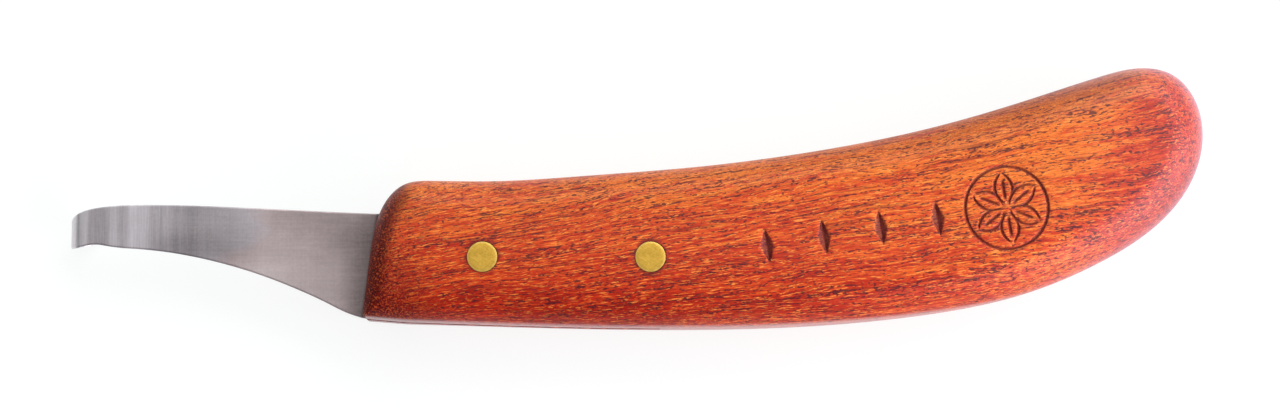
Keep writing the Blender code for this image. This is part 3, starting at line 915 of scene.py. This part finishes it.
def redwood():
    """Oiled redwood: growth layers, wavy fibres, dark pores in broken lines and soaked end grain, with
    painted light towards the upper edge and the butt, and painted shade low in front and in the carving.
    """
    material, tree, shader, place = new_material("oiled_redwood")
    x, y, z = parts_of(tree, place)
    facing_x, facing_y, _ = parts_of(tree, node(tree, "ShaderNodeNewGeometry", {}).outputs["Normal"])
    butt = band(tree, x, 66.0, 96.0)
    # the low front, where shade is painted into the tone and the light fibres
    shaded_low_front = times(tree, band(tree, y, -13.0, -21.0), band(tree, x, 20.0, -10.0))
    straight, grain = grain_coordinates(tree, x, y, z)
    veins = stretched_noise(tree, grain, (18.0, 0.8, 1.2), 11.0, 3.0, 0.65)
    strands = stretched_noise(tree, grain, (2.3, 0.19, 0.19), 5.0, 2.0, 0.7)
    speckle = stretched_noise(tree, (x, y, z), (0.32, 0.32, 0.32))
    pores = wood_pores(tree, grain)
    # soaked end grain and painted shade at the front
    soaked_and_shaded = soaked_and_shaded_wood(tree, x, y, speckle, facing_x)

    colour = growth_layers(tree, x, straight, grain, veins, shaded_low_front)
    colour = add_fibres(tree, colour, strands, butt, shaded_low_front)
    colour = add_seams(tree, colour, grain)
    colour = mix_colour(tree, times(tree, pores, 0.85), colour, DARK_PORE)
    colour = add_end_grain(tree, colour, x, speckle, soaked_and_shaded)
    colour = add_old_oil_and_carving_shade(tree, colour, x, y, veins)
    rough = scale_add(tree, strands, 0.14, 0.36)
    rough = math_node(tree, "MULTIPLY_ADD", pores, 0.2, rough, clamp=True)
    connect(tree, shader, {"Base Color": colour, "Roughness": rough})
    connect(tree, shader, redwood_gloss(tree, x, y, facing_y, butt, shaded_low_front, soaked_and_shaded))
    height = scale_add(tree, strands, 0.4, times(tree, pores, -1.0))
    add_bump(tree, shader, height, 0.6, 0.00006)
    return material


def steel_polish_and_reflection(tree, x, y, from_wood):
    """How bright the steel is, along the blade and where its shape changes that: its polish, with painted
    reflections along the bend and hook and painted shade next to the handle.
    """
    along = band(tree, x, STEEL_TONE_START_X, STEEL_TONE_END_X, "LINEAR")
    # painted reflections and the handle's painted shade, along with the polish
    tone = grey_ramp(tree, along, STEEL_POLISH_AND_REFLECTION)
    shade = times(tree, band(tree, x, -90.0, -84.0), band(tree, x, -70.0, -76.0))
    shade = times(tree, shade, band(tree, y, -4.5, -9.5))
    tone = scale_add(tree, shade, -0.05, tone)  # a shade along the middle of the edge
    sheen = times(tree, band(tree, y, -8.0, -15.0), band(tree, x, -49.5, -54.0))
    tone = scale_add(tree, sheen, 0.24, tone)  # a sheen where the blade is deepest
    return scale_add(tree, band(tree, from_wood, 0.2, 1.0), 0.6, tone)  # the tang's lower side, brightened as a painted reflection


def satin_steel():
    """Rolled steel ground across its length: fine cross lines, an uneven polish with painted reflections and
    shade, and painted shade where the blade meets the handle.
    """
    material, tree, shader, place = new_material("satin_steel")
    x, y, z = parts_of(tree, place)
    from_wood = math_node(tree, "ADD", scale_add(tree, y, -0.14, x), 45.9)  # from the handle's slanted front
    tone = steel_polish_and_reflection(tree, x, y, from_wood)

    lines = stretched_noise(tree, (x, y, z), (0.24, 9.0, 0.24), 0.0, 2.0, 0.7)
    bands = stretched_noise(tree, (x, y, z), (2.2, 40.0, 2.2), 5.0, 2.0)
    streaks = stretched_noise(tree, (x, y, z), (6.0, 0.45, 0.45), 9.0, 3.0, 0.6)
    clouds = stretched_noise(tree, (x, y, z), (12.0, 6.0, 6.0), 2.0, 2.0)
    grit = stretched_noise(tree, (x, y, z), (0.45, 0.45, 0.45), 17.0)
    ground = scale_add(tree, band(tree, x, -70.0, -88.0), 0.35, 0.12)  # stronger towards the hook
    brushed = scale_add(tree, band(tree, x, -88.0, -70.0), 0.16, 0.06)  # stronger towards the handle
    layers = ((lines, ground), (bands, ground), (streaks, brushed), (clouds, 0.40), (grit, 0.16))
    for layer, strength in layers:
        tone = scale_add(tree, about_zero(tree, layer), strength, tone)

    tint = stretched_noise(tree, (x, y, z), (16.0, 6.0, 6.0), 13.0, 3.0)
    tint = scale_add(tree, math_node(tree, "ADD", x, 73.5), 0.03, tint)
    warmth = band(tree, tint, 0.35, 0.65)
    colour = mix_colour(tree, warmth, ramp(tree, tone, COOL_STEEL), ramp(tree, tone, WARM_STEEL))
    # painted shade along the handle's front, where the blade meets the wood
    corner = times(tree, band(tree, from_wood, -0.9, -0.1), band(tree, from_wood, 1.0, 0.5))
    colour = mix_colour(tree, times(tree, corner, 0.75), colour, HANDLE_JOINT_SHADE)

    rough = scale_add(tree, clouds, 0.10, 0.36)
    lengthwise = node(tree, "ShaderNodeCombineXYZ", {0: 1.0, 2: 0.001}).outputs[0]
    connect(tree, shader, {"Base Color": colour, "Roughness": rough, "Tangent": lengthwise})
    connect(tree, shader, {"Anisotropic": 0.7, "Metallic": 1.0})
    add_bump(tree, shader, lines, 0.25, 0.00002)
    return material


def satin_brass():
    """Brass ground flush with the wood: fine scratches, a pitted sheen, and a lighter ring near the head's
    edge.
    """
    material, tree, shader, place = new_material("satin_brass")
    x, y, z = parts_of(tree, place)
    slanted = scale_add(tree, x, 0.6, y)
    scratches = stretched_noise(tree, (x, slanted, z), (3.0, 0.14, 0.3), 0.0, 2.0, 0.7)
    pits = stretched_noise(tree, (x, y, z), (0.30, 0.30, 0.30), 3.0)
    mottle = noise(tree, place, 0.9, 2.0)
    tone = scale_add(tree, scratches, 0.35, times(tree, mottle, 0.30))
    tone = scale_add(tree, pits, 0.35, tone)
    colour = ramp(tree, tone, BRASS_TONES)
    flat = node(tree, "ShaderNodeCombineXYZ", {0: x, 1: y}).outputs[0]
    reach = node(tree, "ShaderNodeVectorMath", {0: flat}, operation="LENGTH").outputs["Value"]
    # a lighter ring just inside the head's edge
    rim = times(tree, band(tree, reach, PIN_HEAD_RADIUS - 0.45, PIN_HEAD_RADIUS - 0.15), 0.4)
    colour = mix_colour(tree, rim, colour, RIM_BRASS)
    rough = scale_add(tree, mottle, 0.15, 0.36)
    connect(tree, shader, {"Base Color": colour, "Roughness": rough, "Metallic": 1.0})
    add_bump(tree, shader, scratches, 0.3, 0.00003)
    return material


# ---------------------------------------------------------------- studio


def white_floor():
    """The plain white table."""
    shape = bmesh.new()
    bmesh.ops.create_grid(shape, x_segments=1, y_segments=1, size=FLOOR_HALF_SIZE)
    floor = add_object("floor", finish_mesh("floor", shape))
    material, tree, shader, _ = new_material("white_floor")
    connect(tree, shader, {"Base Color": FLOOR_COLOUR, "Roughness": 0.9, "Specular IOR Level": 0.0})
    connect(tree, shader, {"Emission Color": (1, 1, 1, 1), "Emission Strength": FLOOR_GLOW})
    floor.data.materials.append(material)


def studio_world():
    """A dim room under a soft grey ceiling, darker on the camera's side and at the hook's end."""
    world = bpy.data.worlds.new("studio")
    bpy.context.scene.world = world
    world.use_nodes = True
    tree = world.node_tree
    to_right, to_back, upwards = parts_of(tree, node(tree, "ShaderNodeTexCoord", {}).outputs["Generated"])
    near = scale_add(tree, band(tree, to_back, -0.75, -0.05), 0.75, 0.25)
    left = scale_add(tree, band(tree, to_right, -0.95, -0.50), 0.35, 0.65)
    inputs = {"Color": grey_ramp(tree, upwards, CEILING_GREYS), "Strength": times(tree, near, left)}
    connect(tree, tree.nodes["Background"], inputs)


def softbox(name, place, width, height, power, colour):
    """A rectangular area light aimed at the knife."""
    light = bpy.data.lights.new(name, "AREA")
    light.shape = "RECTANGLE"
    light.size, light.size_y = width * MM, height * MM
    light.energy = power
    light.color = colour
    lamp = bpy.data.objects.new(name, light)
    position = Vector(place) * MM
    lamp.location = position
    lamp.visible_camera = False
    lamp.rotation_euler = (CAMERA_TARGET * MM - position).to_track_quat("-Z", "Y").to_euler()
    bpy.context.scene.collection.objects.link(lamp)


def camera():
    """The camera nearly above the knife, looking slightly towards +Y."""
    data = bpy.data.cameras.new("camera")
    data.lens = CAMERA_LENS
    data.sensor_width = CAMERA_SENSOR
    obj = bpy.data.objects.new("camera", data)
    back = Vector((0, -math.cos(CAMERA_ELEVATION), math.sin(CAMERA_ELEVATION)))
    obj.location = (CAMERA_TARGET + back * CAMERA_DISTANCE) * MM
    obj.rotation_euler = (-back).to_track_quat("-Z", "Y").to_euler()
    bpy.context.scene.collection.objects.link(obj)
    bpy.context.scene.camera = obj


def place_piece(piece, material, cad_node):
    """Gives a piece its material, puts it on the root body and hides the CAD node that it replaces."""
    piece.data.materials.clear()
    piece.data.materials.append(material)
    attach(piece, "root")
    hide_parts(cad_node)


bpy.context.scene.view_settings.view_transform = "Standard"
camera()
white_floor()
studio_world()
for box in SOFTBOXES:
    softbox(*box)
place_piece(make_handle(), redwood(), "handle")
place_piece(make_blade(), satin_steel(), "blade")
brass = satin_brass()
for pin_node, pin in make_pins().items():
    place_piece(pin, brass, pin_node)
